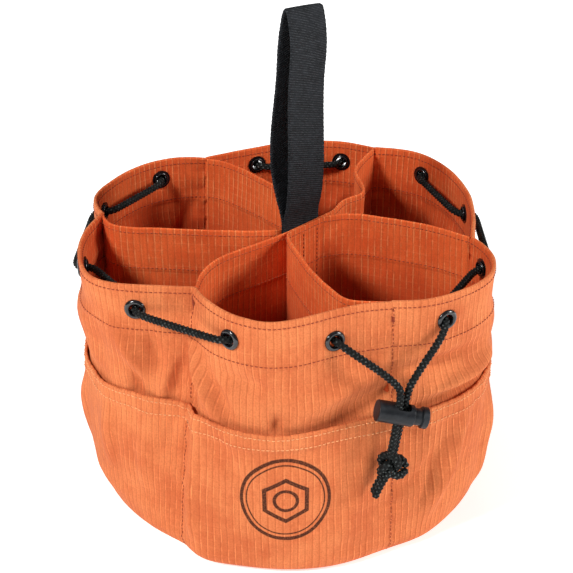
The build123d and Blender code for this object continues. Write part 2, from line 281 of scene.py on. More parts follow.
def on_circle(radius, angle):
    return radius * math.cos(math.radians(angle)), radius * math.sin(math.radians(angle))


def seam_foot_radius(lobe):
    """Foot radius at the seam where a lobe starts, shared with the lobe before it."""
    names = list(LOBES)
    before = names[names.index(lobe) - 1]
    return (FOOT_R[lobe] + FOOT_R[before]) / 2 - FOOT_PINCH


def foot_radii(lobe):
    names = list(LOBES)
    following = names[(names.index(lobe) + 1) % len(names)]
    middle = [FOOT_R[lobe]] * (len(LOBES[lobe]) - 2)
    return [seam_foot_radius(lobe)] + middle + [seam_foot_radius(following)]


def smooth(value, low, high):
    """0 below low, 1 above high, with a soft ramp between."""
    t = np.clip((np.asarray(value, float) - low) / (high - low), 0, 1)
    return t * t * (3 - 2 * t)


def soft_noise(points, size, seed):
    """Smooth noise from -1 to 1 at points in mm, with features about size mm across."""
    flat = np.asarray(points, float).reshape(-1, 3) / size + seed
    values = [noise.noise(Vector(p)) for p in flat]
    return np.array(values).reshape(np.asarray(points).shape[:-1])


INSET = WALL_T / 2
RIM_LINE = {n: Line2([on_circle(r - INSET, a) for a, r in pts]) for n, pts in LOBES.items()}
FOOT_LINE = {
    n: Line2([on_circle(r - INSET, a) for (a, _), r in zip(pts, foot_radii(n))])
    for n, pts in LOBES.items()
}


def wall_frame(lobe, fraction, z):
    """Middle of the wall and its outward direction, as the eyelets use them."""
    low = Vector((*FOOT_LINE[lobe].at(fraction), BASE_T))
    high = Vector((*RIM_LINE[lobe].at(fraction), RIM_Z))
    along = Vector((*RIM_LINE[lobe].direction(fraction), 0))
    share = (z - BASE_T) / (RIM_Z - BASE_T)
    return low.lerp(high, share), along.cross((high - low).normalized()).normalized()


EYELETS = {lobe: [wall_frame(lobe, f, z) for f, z in spots] for lobe, spots in EYELET_AT.items()}


class Ring:
    """The wall's middle surface as a grid: rows go up, columns go once round the bag."""

    def __init__(self, heights, insets, tilts, columns=LOBE_COLUMNS):
        names = list(LOBES)
        f = np.tile(np.arange(columns) / columns, len(names))
        self.lobe = np.repeat(np.arange(len(names)), columns)
        shares = np.arange(columns) / columns
        rim = np.concatenate([RIM_LINE[n].at(shares) for n in names])
        foot = np.concatenate([FOOT_LINE[n].at(shares) for n in names])
        lengths = np.array([RIM_LINE[n].length for n in names])
        self.f = f
        self.s = f * lengths[self.lobe]
        self.to_seam = np.minimum(self.s, lengths[self.lobe] - self.s)
        self.u = np.concatenate([[0], np.cumsum(np.repeat(lengths / columns, columns))])
        self.heights = np.asarray(heights, float)
        share = ((self.heights - BASE_T) / (RIM_Z - BASE_T))[:, None, None]
        plan = foot[None] + (rim - foot)[None] * share
        along = np.roll(plan, -1, axis=1) - np.roll(plan, 1, axis=1)
        along /= np.linalg.norm(along, axis=2, keepdims=True)
        self.out = np.stack([along[..., 1], -along[..., 0], np.zeros(along.shape[:2])], axis=2)
        plan = plan - self.out[..., :2] * np.asarray(insets)[:, None, None]
        z = np.repeat(self.heights[:, None], plan.shape[1], axis=1)
        self.points = np.concatenate([plan, z[..., None]], axis=2)
        tilts = np.asarray(tilts)[:, None, None]
        self.normal = self.out * np.cos(tilts) - np.array([0, 0, 1.0]) * np.sin(tilts)
        self.grid_s = np.repeat(self.s[None], len(heights), axis=0)
        self.grid_z = z

    def folds(self, spec):
        """Sum of soft folds, as a distance out of the wall."""
        total = np.zeros(self.grid_s.shape)
        names = list(LOBES)
        for lobe, s, z, angle, length, width, height in spec:
            a = math.radians(angle)
            ds, dz = self.grid_s - s, self.grid_z - z
            along = ds * math.cos(a) + dz * math.sin(a)
            across = dz * math.cos(a) - ds * math.sin(a)
            ridge = height * np.exp(-(along / length) ** 2 - (across / width) ** 2)
            total += ridge * (self.lobe == names.index(lobe))
        return total

    def swell(self):
        """The drum bellies out below the rim band in a few places, never at a seam."""
        azimuth = np.degrees(np.arctan2(self.points[..., 1], self.points[..., 0])) % 360
        total = sum(size * np.exp(-((azimuth - centre) / half) ** 2) for centre, half, size in SWELLS)
        level = smooth(self.grid_z, 3, 26) * (1 - smooth(self.grid_z, 132, 152))
        level = level * (1 - 0.5 * smooth(self.grid_z, 70, 96) * (1 - smooth(self.grid_z, 103, 112)))
        return total * level * (1 - np.exp(-(self.to_seam / 8.0) ** 2))[None]

    def away_from_eyelets(self):
        """0 beside an eyelet, 1 away from them all."""
        mask = np.ones(self.grid_s.shape)
        for spots in EYELETS.values():
            for spot, _ in spots:
                mask *= smooth(np.linalg.norm(self.points - np.array(spot), axis=2), *EYELET_CALM)
        return mask

    def sculpt(self, offset):
        """Moves the cloth out by an offset at each point."""
        self.points = self.points + self.normal * offset[..., None]

    def faces(self, outer, inner, shift):
        """Outer and inner face of the cloth, these half thicknesses away and moved up by a shift."""
        lift = shift[..., None] * np.array([0, 0, 1.0])
        front = self.points + self.normal * outer[:, None, None] + lift
        back = self.points - self.normal * inner[:, None, None] + lift
        return front, back

    def uv(self):
        """Distance round the bag and height, in mm, for every corner of the grid."""
        u = np.repeat(self.u[None], len(self.heights), axis=0)
        return u, np.repeat(self.heights[:, None], len(self.u), axis=1)

    def plan_places(self, z):
        """Points for noise: the cloth's place in plan, with a height of its own."""
        return np.stack([self.points[..., 0], self.points[..., 1], z], axis=2)


def foot_rows():
    """Height, inset and tilt of the rows that round the wall under to the base."""
    turns = np.radians(np.arange(80, 0, -10))
    return (
        FOOT_LIFT + FOOT_ROUND * (1 - np.sin(turns)),
        FOOT_ROUND * (1 - np.cos(turns)),
        turns,
    )


def edge_rows(top, thickness):
    """Heights and half thicknesses of the rows that round a folded edge over."""
    turns = np.radians([0, 22, 42, 60, 76])
    r = thickness / 2
    return top - r + r * np.sin(turns), r * np.cos(turns)


def hem_rows(start, first, last, step):
    """Heights of a hem's rows: close together over its turned edge, then a step apart."""
    return np.concatenate([[start - 0.5, start, start + 0.5], np.arange(first, last, step)])


def half_thickness(heights, plain, hem, hem_start, edge_half):
    """Half the thickness of each row of cloth: plain, thicker in the hem, rounded at the edge."""
    half = plain / 2 + (hem - plain) / 2 * smooth(heights, hem_start - 0.6, hem_start + 0.6)
    half[-len(edge_half):] = edge_half
    return half


def cloth_ring(plain_z, hem_z, edge_z):
    """A ring of cloth with rows from its rounded foot up to its folded edge."""
    foot_z, foot_inset, foot_tilt = foot_rows()
    heights = np.concatenate([foot_z, plain_z, hem_z, edge_z])
    still = np.zeros(len(heights) - len(foot_z))
    return Ring(heights, np.concatenate([foot_inset, still]), np.concatenate([foot_tilt, still]))


# ---- mesh ----------------------------------------------------------------------------------------
def mesh_object(name, points, faces, uv, material, body="bag", slot="canvas", crown=None):
    """Points and uv in mm, faces as corner indices. Crown is a value per point for the material."""
    used, faces_flat = np.unique(faces, return_inverse=True)
    points = np.asarray(points, float)[used] * MM
    faces = faces_flat.reshape(np.shape(faces))
    mesh = bpy.data.meshes.new(name)
    mesh.from_pydata(points.tolist(), [], faces.tolist())
    layer = mesh.uv_layers.new(name="UVMap")
    layer.data.foreach_set("uv", np.asarray(uv, np.float32).ravel() * MM)
    mesh.polygons.foreach_set("use_smooth", [True] * len(mesh.polygons))
    mesh.materials.append(material)
    if crown is not None:
        layer = mesh.attributes.new("crown", "FLOAT", "POINT")
        layer.data.foreach_set("value", np.asarray(crown, np.float32)[used])
    mesh.validate()
    obj = bpy.data.objects.new(name, mesh)
    bpy.context.scene.collection.objects.link(obj)
    if body:
        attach(obj, body)
    return obj


def grid_corners(rows, columns):
    """Row and column of the four corners of each quad in a grid of quads."""
    r, c = np.meshgrid(np.arange(rows), np.arange(columns), indexing="ij")
    r, c = r.ravel(), c.ravel()
    return np.stack([r, r, r + 1, r + 1], axis=1), np.stack([c, c + 1, c + 1, c], axis=1)


def shell(front, back, u, v, wrap=False, cut=None, cap=False):
    """Closed skin over two grids of points, as points, faces and uv.

    Wrap joins the last column to the first, cut leaves quads out, and cap fills the first row.
    """
    rows, columns = front.shape[:2]
    corner_rows, corner_columns = grid_corners(rows - 1, columns if wrap else columns - 1)
    if cut is not None:
        corner_rows, corner_columns = corner_rows[~cut.ravel()], corner_columns[~cut.ravel()]
    if cap:
        i = np.arange(columns // 2 - 1)
        across_hole = np.stack([i + 1, i, columns - 1 - i, columns - 2 - i], axis=1)
        corner_rows = np.concatenate([corner_rows, np.zeros_like(across_hole)])
        corner_columns = np.concatenate([corner_columns, across_hole])
    quads = corner_rows * columns + corner_columns % columns
    uv = np.stack([u[corner_rows, corner_columns], v[corner_rows, corner_columns]], axis=2)
    count = rows * columns
    starts, ends = quads, np.roll(quads, -1, axis=1)
    start_uv, end_uv = uv, np.roll(uv, -1, axis=1)
    keys = (starts * count + ends).ravel()
    open_edge = ~np.isin(keys, (ends * count + starts).ravel())
    a, b = starts.ravel()[open_edge], ends.ravel()[open_edge]
    a_uv, b_uv = start_uv.reshape(-1, 2)[open_edge], end_uv.reshape(-1, 2)[open_edge]
    sides = np.stack([b, a, a + count, b + count], axis=1)
    sides_uv = np.stack([b_uv, a_uv, a_uv, b_uv], axis=1)
    faces = np.concatenate([quads, quads[:, ::-1] + count, sides])
    all_uv = np.concatenate([uv, uv[:, ::-1], sides_uv])
    points = np.concatenate([front.reshape(-1, 3), back.reshape(-1, 3)])
    return points, faces, all_uv


def shade_inside(obj, front_count, shaded_canvas):
    """Gives the back of a shell the canvas with painted shade."""
    obj.data.materials.append(shaded_canvas)
    index = np.zeros(len(obj.data.polygons), np.int32)
    index[front_count:2 * front_count] = 1
    obj.data.polygons.foreach_set("material_index", index)


def joined(parts):
    """Several (points, faces, uv) sets of quads as one."""
    points, faces, uv, count = [], [], [], 0
    for p, f, t in parts:
        points.append(np.asarray(p))
        faces.append(np.asarray(f) + count)
        uv.append(np.asarray(t))
        count += len(p)
    return np.concatenate(points), np.concatenate(faces), np.concatenate(uv)


def resample(points, step):
    """Points along a polyline, about step apart, with their distance along it."""
    along = distances(points)
    at = np.linspace(0, along[-1], max(2, int(round(along[-1] / step)) + 1))
    return read_off(at, along, points), at


def tube(path, radius_at, sides, up=None):
    """Quads of a closed tube. radius_at(distance, angle) gives the radius at each ring point."""
    along = distances(path)
    tangent = np.gradient(path, axis=0)
    tangent /= np.linalg.norm(tangent, axis=1, keepdims=True)
    normal = np.zeros_like(path)
    first = np.cross(tangent[0], [0, 0, 1.0] if abs(tangent[0][2]) < 0.9 else [1.0, 0, 0])
    normal[0] = np.cross(first, tangent[0]) if up is None else up
    normal[0] -= tangent[0] * (normal[0] @ tangent[0])
    normal[0] /= np.linalg.norm(normal[0])
    for i in range(1, len(path)):
        n = normal[i - 1] - tangent[i] * (normal[i - 1] @ tangent[i])
        normal[i] = n / np.linalg.norm(n)
    binormal = np.cross(tangent, normal)
    angle = np.arange(sides) * 2 * math.pi / sides
    radius = radius_at(along[:, None], angle[None, :])[..., None]
    cosine, sine = np.cos(angle)[None, :, None], np.sin(angle)[None, :, None]
    ring = normal[:, None] * cosine + binormal[:, None] * sine
    points = (path[:, None] + ring * radius).reshape(-1, 3)
    rows = len(path)
    row, column = grid_corners(rows - 1, sides)
    faces = row * sides + column % sides
    uv = np.stack([column / sides / MM, along[row]], axis=2)
    caps = []
    for ring_row, turn in ((0, 1), (rows - 1, -1)):
        start = ring_row * sides
        for k in range(sides // 2 - 1):
            quad = [start + k, start + k + 1, start + sides - 2 - k, start + sides - 1 - k]
            caps.append(quad[::-1] if turn > 0 else quad)
    cap_uv = np.zeros((len(caps), 4, 2))
    return points, np.concatenate([faces, np.array(caps)]), np.concatenate([uv, cap_uv])


# Along one stitch, in thread radii: height above the cloth, and how thick the thread is
STITCH_BOW = np.array([-0.9, 0.0, 0.45, 0.6, 0.45, 0.0, -0.9])
STITCH_SIZE = np.array([0.35, 0.85, 1.0, 1.0, 1.0, 0.85, 0.35])


def stitches(path, normal, offset, length=STITCH_LENGTH, pitch=STITCH_PITCH, radius=STITCH_R):
    """Thread lying along a line on cloth, as one small round-ended tube per stitch."""
    path = np.asarray(path, float) + np.asarray(normal) * offset
    fine, at = resample(path, 0.25)
    fine_normal = read_off(at, distances(path), normal)
    count = int(at[-1] // pitch)
    start = (at[-1] - count * pitch + pitch - length) / 2
    parts = []
    for i in range(count):
        places = start + i * pitch + np.linspace(0, length, len(STITCH_BOW))
        out = read_off(places, at, fine_normal)
        line = read_off(places, at, fine) + out * (STITCH_BOW * radius)[:, None]
        parts.append(tube(line, lambda s, a: radius * STITCH_SIZE[:, None], 6, up=out[0]))
    return joined(parts)


def stitch_row(ring, face, height, side=1):
    """Stitches all the way round one face of a ring of cloth, on the row nearest to a height."""
    i = int(np.argmin(np.abs(ring.heights - height)))
    around = np.arange(len(face[i]) + 1) % len(face[i])
    return stitches(face[i][around], ring.normal[i][around] * side, 0.12)


def stitch_seams(ring, face, rows):
    """Stitches up a ring of cloth at each of the six seams, over a slice of its rows."""
    columns = range(0, len(ring.s), LOBE_COLUMNS)
    return [stitches(face[rows, column], ring.normal[rows, column], 0.15) for column in columns]


# ---- materials -----------------------------------------------------------------------------------
class Shader:
    """A material with a Principled surface, and short calls for the nodes that feed it."""

    def __init__(self, name, **surface):
        self.material = bpy.data.materials.new(name)
        self.material.use_nodes = True
        self.tree = self.material.node_tree
        self.surface = self.tree.nodes["Principled BSDF"]
        for key, value in surface.items():
            self.set(self.surface, key.replace("_", " "), value)

    def set(self, node, key, value):
        socket = node.inputs[key]
        if isinstance(value, bpy.types.NodeSocket):
            self.tree.links.new(value, socket)
        else:
            socket.default_value = value

    def node(self, kind, inputs=(), **settings):
        made = self.tree.nodes.new(kind)
        for key, value in settings.items():
            setattr(made, key, value)
        for key, value in dict(inputs).items():
            self.set(made, key, value)
        return made

    def math(self, operation, a, b=0.0, c=0.0):
        return self.node("ShaderNodeMath", {0: a, 1: b, 2: c}, operation=operation).outputs[0]

    def uv(self):
        """UV coordinates, which are metres on the cloth."""
        uv = self.node("ShaderNodeUVMap", uv_map="UVMap").outputs[0]
        parted = self.node("ShaderNodeSeparateXYZ", {0: uv})
        return parted.outputs[0], parted.outputs[1]

    def place(self):
        """Coordinates of the object, in metres."""
        return self.node("ShaderNodeTexCoord").outputs["Object"]

    def noise(self, scale, detail=3.0, roughness=0.55, vector=None):
        inputs = {"Scale": scale, "Detail": detail, "Roughness": roughness}
        inputs["Vector"] = self.place() if vector is None else vector
        return self.node("ShaderNodeTexNoise", inputs).outputs["Fac"]

    def ramp(self, value, low, high, out_low=0.0, out_high=1.0):
        """The value from low to high turned into out_low to out_high, softly."""
        inputs = {"Value": value, "From Min": low, "From Max": high}
        inputs.update({"To Min": out_low, "To Max": out_high})
        return self.node("ShaderNodeMapRange", inputs, interpolation_type="SMOOTHSTEP").outputs[0]

    def mix(self, share, a, b, blend="MIX"):
        made = self.node("ShaderNodeMix", data_type="RGBA", blend_type=blend)
        self.set(made, 0, share)
        for index, value in ((6, a), (7, b)):
            if isinstance(value, tuple):
                value = (*value, 1.0)
            self.set(made, index, value)
        return made.outputs[2]

    def wave(self, value, period, phase=0.0):
        """A cosine of the value with that period, from 0 to 1."""
        turn = self.math("MULTIPLY_ADD", value, 2 * math.pi / period, phase)
        return self.math("MULTIPLY_ADD", self.math("COSINE", turn), 0.5, 0.5)

    def bump(self, height, distance):
        """Raises the surface by the height, 0 to 1, times a distance in metres."""
        inputs = {"Strength": 1.0, "Distance": distance, "Height": height}
        self.set(self.surface, "Normal", self.node("ShaderNodeBump", inputs).outputs[0])

    def finish(self, colour, roughness):
        """Feeds the surface's colour and roughness."""
        self.set(self.surface, "Base Color", colour)
        self.set(self.surface, "Roughness", roughness)


def scaled(colour, share):
    """A colour made lighter or darker, never past white."""
    return tuple(min(1, c * share) for c in colour)


CANVAS_BRIGHT = (0.70, 0.214, 0.077)
CANVAS_DEEP = (0.48, 0.088, 0.026)
CANVAS_SHADED = (0.37, 0.026, 0.007)       # deep in a compartment, red light off red cloth
SHADED_Z = (0.075, 0.163)      # wholly shaded below the first height, not at all above the second
RIB_PITCH = 0.0041             # heavier threads up the cloth, in metres
WEFT_PITCH = 0.0052            # and across it
THREAD_PITCH = 0.00075


def canvas_material(name, tone=1.0, tint=(1, 1, 1), mark_at=None, inside=False):
    """Orange ripstop: a plain weave with a heavier thread every few millimetres each way."""
    m = Shader(name, Sheen_Weight=0.02, Sheen_Roughness=0.5, Specular_IOR_Level=0.08)
    u, v = m.uv()
    sway = m.math("MULTIPLY_ADD", m.noise(28.0, 1.0), 0.0012, -0.0006)
    u = m.math("ADD", u, sway)
    v = m.math("ADD", v, sway)
    fade = m.ramp(m.noise(95.0, 4.0, 0.65), 0.38, 0.62, 0.1, 1.0)
    # the heavier threads are drawn lighter, partly their own ripstop pattern and partly painted highlight,
    # with a line of painted shade along one side of each rib
    rib = m.math("MULTIPLY", m.ramp(m.wave(u, RIB_PITCH), 0.80, 0.99), fade)
    bar = m.math("MULTIPLY", m.ramp(m.wave(v, WEFT_PITCH), 0.86, 0.99), fade)
    rib_shade = m.math("MULTIPLY", m.ramp(m.wave(u, RIB_PITCH, 0.9), 0.80, 0.99), 0.36)
    check = m.math("MULTIPLY", m.wave(u, THREAD_PITCH), m.wave(v, THREAD_PITCH))
    thread_tone = m.noise(1100.0, 2.0)
    cloth_tone = m.noise(30.0, 5.0, 0.65)
    stretched = {0: m.math("MULTIPLY", u, 420.0), 1: m.math("MULTIPLY", v, 26.0)}
    streak = m.noise(1.0, 3.0, 0.6, m.node("ShaderNodeCombineXYZ", stretched).outputs[0])
    base, deep = [
        tuple(c * tone * share for c, share in zip(colour, tint)) for colour in (CANVAS_BRIGHT, CANVAS_DEEP)
    ]
    colour = m.mix(m.ramp(cloth_tone, 0.30, 0.66, 0.62, 0.0), base, deep)
    colour = m.mix(m.ramp(streak, 0.38, 0.75, 0.0, 0.36), colour, deep)
    colour = m.mix(m.math("MULTIPLY", rib, 0.70), colour, scaled(CANVAS_BRIGHT, 1.35 * tone))
    colour = m.mix(rib_shade, colour, scaled(CANVAS_DEEP, 0.72 * tone))
    colour = m.mix(m.math("MULTIPLY", bar, 0.15), colour, scaled(CANVAS_BRIGHT, 1.25 * tone))
    colour = m.mix(m.ramp(thread_tone, 0.40, 0.75, 0.0, 0.30), colour, scaled(CANVAS_DEEP, 0.6 * tone))
    if inside:
        # painted shade: lower down, the cloth is mixed towards the dark red of CANVAS_SHADED
        height = m.node("ShaderNodeSeparateXYZ", {0: m.place()}).outputs["Z"]
        colour = m.mix(m.ramp(height, *SHADED_Z, 0.92, 0.0), colour, CANVAS_SHADED)
    if mark_at:
        ink = m.math("MULTIPLY", nut_mark(m, mark_at), m.ramp(thread_tone, 0.2, 0.6, 0.7, 0.95))
        colour = m.mix(ink, colour, MARK_INK)
    m.finish(colour, m.ramp(cloth_tone, 0.2, 0.8, 0.74, 0.9))
    height = m.math("MULTIPLY_ADD", rib, 0.9, m.math("MULTIPLY", bar, 0.28))
    height = m.math("MULTIPLY_ADD", check, 0.22, height)
    height = m.math("MULTIPLY_ADD", m.noise(260.0, 3.0), 0.5, height)
    m.bump(height, 0.00022)
    return m.material


MARK_INK = (0.035, 0.012, 0.008)
MARK_LOBE, MARK_FRACTION, MARK_HEIGHT = "left_front", 0.515, 56.0
MARK_STRETCH = 1.1             # the print is a little taller than wide
MARK_RINGS = [(0.0245, 0.0010), (0.0217, 0.0004)]      # radius, half width
MARK_NUT = 0.0115              # half the width across the flats of the printed nut
MARK_BORE = 0.0062
MARK_LINE = 0.0012


def nut_mark(m, centre):
    """1 on a plain print of a hexagon nut in two rings, 0 elsewhere."""
    u, v = m.uv()
    x = m.math("SUBTRACT", u, centre[0] * MM)
    y = m.math("MULTIPLY_ADD", v, 1 / MARK_STRETCH, -centre[1] * MM / MARK_STRETCH)
    radius = m.math("SQRT", m.math("MULTIPLY_ADD", x, x, m.math("MULTIPLY", y, y)))
    flats = []
    for turn in (0, 60, 120):
        a = math.radians(turn)
        across = m.math("MULTIPLY_ADD", x, math.cos(a), m.math("MULTIPLY", y, math.sin(a)))
        flats.append(m.math("ABSOLUTE", across))
    hexagon = m.math("MAXIMUM", m.math("MAXIMUM", flats[0], flats[1]), flats[2])
    bands = [(radius, r, half) for r, half in MARK_RINGS]
    bands += [(hexagon, MARK_NUT, MARK_LINE), (radius, MARK_BORE, MARK_LINE * 0.8)]
    total = None
    for distance, middle, half in bands:
        gap = m.math("ABSOLUTE", m.math("SUBTRACT", distance, middle))
        line = m.ramp(gap, half - 0.0002, half + 0.0002, 1.0, 0.0)
        total = line if total is None else m.math("MAXIMUM", total, line)
    return total


def thread_material(name, colour):
    m = Shader(name, Sheen_Weight=0.04, Specular_IOR_Level=0.2)
    tone = m.noise(900.0, 2.0)
    m.finish(m.mix(m.ramp(tone, 0.3, 0.7), scaled(colour, 0.7), colour), m.ramp(tone, 0.2, 0.8, 0.5, 0.75))
    m.bump(m.noise(2600.0, 2.0), 0.0001)
    return m.material


def webbing_material():
    """Charcoal polyester webbing in a fine slanting twill."""
    m = Shader("webbing", Specular_IOR_Level=0.16)
    u, v = m.uv()
    twill = m.wave(m.math("MULTIPLY_ADD", u, 0.30, v), 0.0014)
    ends = m.wave(u, 0.0011)
    picks = m.wave(v, 0.00095)
    tone = m.noise(160.0, 4.0, 0.6)
    colour = m.mix(m.ramp(tone, 0.25, 0.75), (0.003, 0.004, 0.005), (0.016, 0.018, 0.021))
    # painted highlight: the twill's lines drawn lighter in patches
    lit = m.math("MULTIPLY", m.ramp(twill, 0.5, 1.0), m.ramp(m.noise(700.0, 3.0), 0.35, 0.7))
    colour = m.mix(lit, colour, (0.048, 0.052, 0.058))
    m.finish(colour, m.ramp(tone, 0.2, 0.8, 0.62, 0.82))
    height = m.math("MULTIPLY_ADD", twill, 0.8, m.math("MULTIPLY", ends, 0.12))
    m.bump(m.math("MULTIPLY_ADD", picks, 0.15, height), 0.0003)
    return m.material


def cord_material():
    """Braided black cord: each strand catches a little grey-green light on its crown."""
    m = Shader("braided_cord", Specular_IOR_Level=0.14)
    u, v = m.uv()
    fibre = m.wave(m.math("MULTIPLY_ADD", u, 0.02, v), 0.00035)
    tone = m.noise(420.0, 3.0, 0.6)
    colour = m.mix(m.ramp(tone, 0.3, 0.75), (0.002, 0.0024, 0.0024), (0.007, 0.0085, 0.008))
    crown = m.node("ShaderNodeAttribute", attribute_name="crown").outputs["Fac"]
    lit = m.math("MULTIPLY", m.ramp(crown, 0.66, 0.98), m.ramp(m.noise(240.0, 2.0), 0.4, 0.7, 0.1, 1.0))
    colour = m.mix(lit, colour, (0.115, 0.132, 0.128))
    colour = m.mix(m.math("MULTIPLY", fibre, 0.08), colour, (0.05, 0.058, 0.055))
    m.finish(colour, m.ramp(tone, 0.2, 0.8, 0.38, 0.6))
    m.bump(fibre, 0.00006)
    return m.material


def lacquer_material():
    """Glossy black paint on the eyelets."""
    m = Shader("eyelet_lacquer", Metallic=0.1, Specular_IOR_Level=0.4, Coat_Weight=0.55, Coat_Roughness=0.1)
    tone = m.noise(300.0, 4.0)
    scratch = m.noise(90.0, 2.0)
    colour = m.mix(m.ramp(tone, 0.45, 0.8), (0.004, 0.004, 0.005), (0.016, 0.016, 0.019))
    m.finish(colour, m.ramp(scratch, 0.3, 0.7, 0.14, 0.3))
    m.bump(tone, 0.00003)
    return m.material


def lock_material():
    """Dull charcoal plastic of the cord lock."""
    m = Shader("lock_plastic", Specular_IOR_Level=0.25, Coat_Roughness=0.3)
    tone = m.noise(1500.0, 2.0)
    wear = m.noise(120.0, 4.0)
    colour = m.mix(m.ramp(wear, 0.4, 0.75), (0.007, 0.008, 0.010), (0.022, 0.025, 0.029))
    m.finish(colour, m.ramp(wear, 0.25, 0.75, 0.3, 0.46))
    m.bump(tone, 0.00003)
    return m.material


def steel_material():
    m = Shader("spring_steel", Metallic=1.0)
    tone = m.noise(700.0, 3.0)
    colour = m.mix(m.ramp(tone, 0.3, 0.7), (0.42, 0.42, 0.44), (0.62, 0.62, 0.64))
    m.finish(colour, m.ramp(tone, 0.2, 0.8, 0.22, 0.38))
    m.bump(tone, 0.00003)
    return m.material


CANVAS = canvas_material("canvas")
# painted shade: the same canvas tinted darker and redder for the shade inside the bag, and deeper red lower
# down
SHADED_INSIDE_CANVAS = canvas_material("canvas_inside_painted_shade", tone=1.0, tint=(1.04, 0.57, 0.40), inside=True)
# painted shade: the same thread drawn darker, for the shade where the stitches pull into the cloth
SHADED_THREAD = thread_material("thread_painted_shade", (0.33, 0.052, 0.020))
LIGHT_THREAD = thread_material("light_thread", (0.98, 0.47, 0.21))
# painted shade: the thread drawn darker and redder, for the shade inside the bag
INSIDE_THREAD = thread_material("inside_thread", (0.50, 0.095, 0.032))
# painted light and shade: the same canvas made brighter by its tone for light on the dividers' tops, redder
# by its tint, and deeper red lower down for shade in the compartments
DIVIDER_CANVAS = canvas_material("canvas_dividers", tone=1.18, tint=(1.03, 0.62, 0.44), inside=True)
WEBBING = webbing_material()
CORD = cord_material()


# ---- wall ----------------------------------------------------------------------------------------
def wall_sculpt(ring):
    """How the wall's cloth departs from a plain drum, in mm outwards."""
    height = ring.grid_z
    lobe = ring.lobe[None]
    seam = np.exp(-ring.to_seam / SEAM_REACH)[None]
    places = ring.plan_places(height * 0.8)
    middle = np.sin(math.pi * ring.f)[None]
    slack = -SLACK_DEPTH * middle**1.5 * smooth(height, 96, 118) * (1 - smooth(height, 122, 140))
    slack = slack * (1 - np.clip(ring.swell() / 4, 0, 1))
    pucker = 0.8 * seam * np.sin(height / 15.0 * 2 * math.pi + 2.1 * lobe) * smooth(height, 8, 40)
    fine = 0.5 * seam**2 * np.sin(height / 6.2 * 2 * math.pi + lobe)
    body = 2.1 * soft_noise(places, 34.0, 3.7) + 1.0 * soft_noise(places, 13.0, 9.1)
    calm = 0.25 + 0.75 * (1 - smooth(height, 132, 144))
    body = body * (1 - 0.6 * seam) * calm * smooth(height, 4, 30)
    edge = 0.7 * soft_noise(places, 9.0, 5.3) * smooth(height, 164, 172) * seam
    total = slack + ring.swell() + pucker + fine + body + FOLD_DEPTH * ring.folds(WALL_FOLDS) + edge
    return total * ring.away_from_eyelets()


def rim_rise(ring):
    """The folded rim isn't quite level: how far each point is lifted, in mm."""
    uneven = 0.9 * soft_noise(ring.plan_places(np.zeros_like(ring.grid_z)), 40.0, 6.2)
    return uneven * smooth(ring.grid_z, 150, 172) * ring.away_from_eyelets()


def eyelet_cut(points):
    """Which quads of a grid of points lie under an eyelet's flange."""
    centre = (points[:-1] + points[1:]) / 2
    centre = (centre + np.roll(centre, -1, axis=1)) / 2
    cut = np.zeros(centre.shape[:2], bool)
    for spots in EYELETS.values():
        for spot, out in spots:
            away = centre - np.array(spot)
            depth = away @ np.array(out)
            beside_axis = np.linalg.norm(away - depth[..., None] * np.array(out), axis=2)
            cut |= (beside_axis < EYELET_CUT_R) & (np.abs(depth) < 6)
    return cut


def make_wall():
    plain_z = np.arange(FOOT_LIFT + FOOT_ROUND, HEM_Z - 0.9, ROW_STEP)
    edge_z, edge_half = edge_rows(RIM_Z, HEM_T)
    stitch_z = HEM_Z + WALL_HEM_STITCH
    ring = cloth_ring(plain_z, hem_rows(HEM_Z, stitch_z, RIM_Z - 2.2, 1.9), edge_z)
    rise = rim_rise(ring)
    ring.sculpt(wall_sculpt(ring))
    half = half_thickness(ring.heights, WALL_T, HEM_T, HEM_Z, edge_half)
    front, back = ring.faces(half, half, rise)
    cut = eyelet_cut(ring.points)
    points, faces, uv = shell(front, back, *ring.uv(), wrap=True, cut=cut)
    wall = mesh_object("canvas_wall", points, faces, uv, CANVAS)
    shade_inside(wall, int((~cut).sum()), SHADED_INSIDE_CANVAS)
    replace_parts(wall, "outer_wall")

    threads = [stitch_row(ring, front, stitch_z), stitch_row(ring, back, stitch_z, -1)]
    above_pockets = int(np.argmin(np.abs(ring.heights - POCKET_Z - 1)))
    threads += stitch_seams(ring, front, slice(above_pockets, -len(edge_z)))
    stitch_z = RIM_Z - EDGE_STITCH
    threads += [stitch_row(ring, front, stitch_z), stitch_row(ring, back, stitch_z, -1)]
    mesh_object("wall_stitches", *joined(threads), SHADED_THREAD)


def bar_tack(centre, across, down, out, width=2.6, height=7.0):
    """A dense block of short stitches that ends a seam."""
    parts = []
    for drop in np.arange(-height / 2, height / 2, 0.62):
        middle = centre + down * drop
        line = [middle - across * width / 2, middle, middle + across * width / 2]
        parts.append(stitches(line, [out] * 3, 0.1, length=width - 0.2, pitch=width - 0.1, radius=0.26))
    return joined(parts)


def make_bar_tacks():
    """One tack at the top of each wall seam, outside."""
    parts = []
    names = list(LOBES)
    for lobe, before in zip(names, names[-1:] + names[:-1]):
        spot, out_after = wall_frame(lobe, 0.0, RIM_Z - 9)
        _, out_before = wall_frame(before, 1.0, RIM_Z - 9)
        out = (out_after + out_before).normalized()
        across = Vector((0, 0, 1)).cross(out).normalized()
        place = np.array(spot + out * (HEM_T / 2 + 0.15))
        parts.append(bar_tack(place, np.array(across), np.array([0, 0, -1.0]), np.array(out)))
    mesh_object("seam_bar_tacks", *joined(parts), SHADED_THREAD)


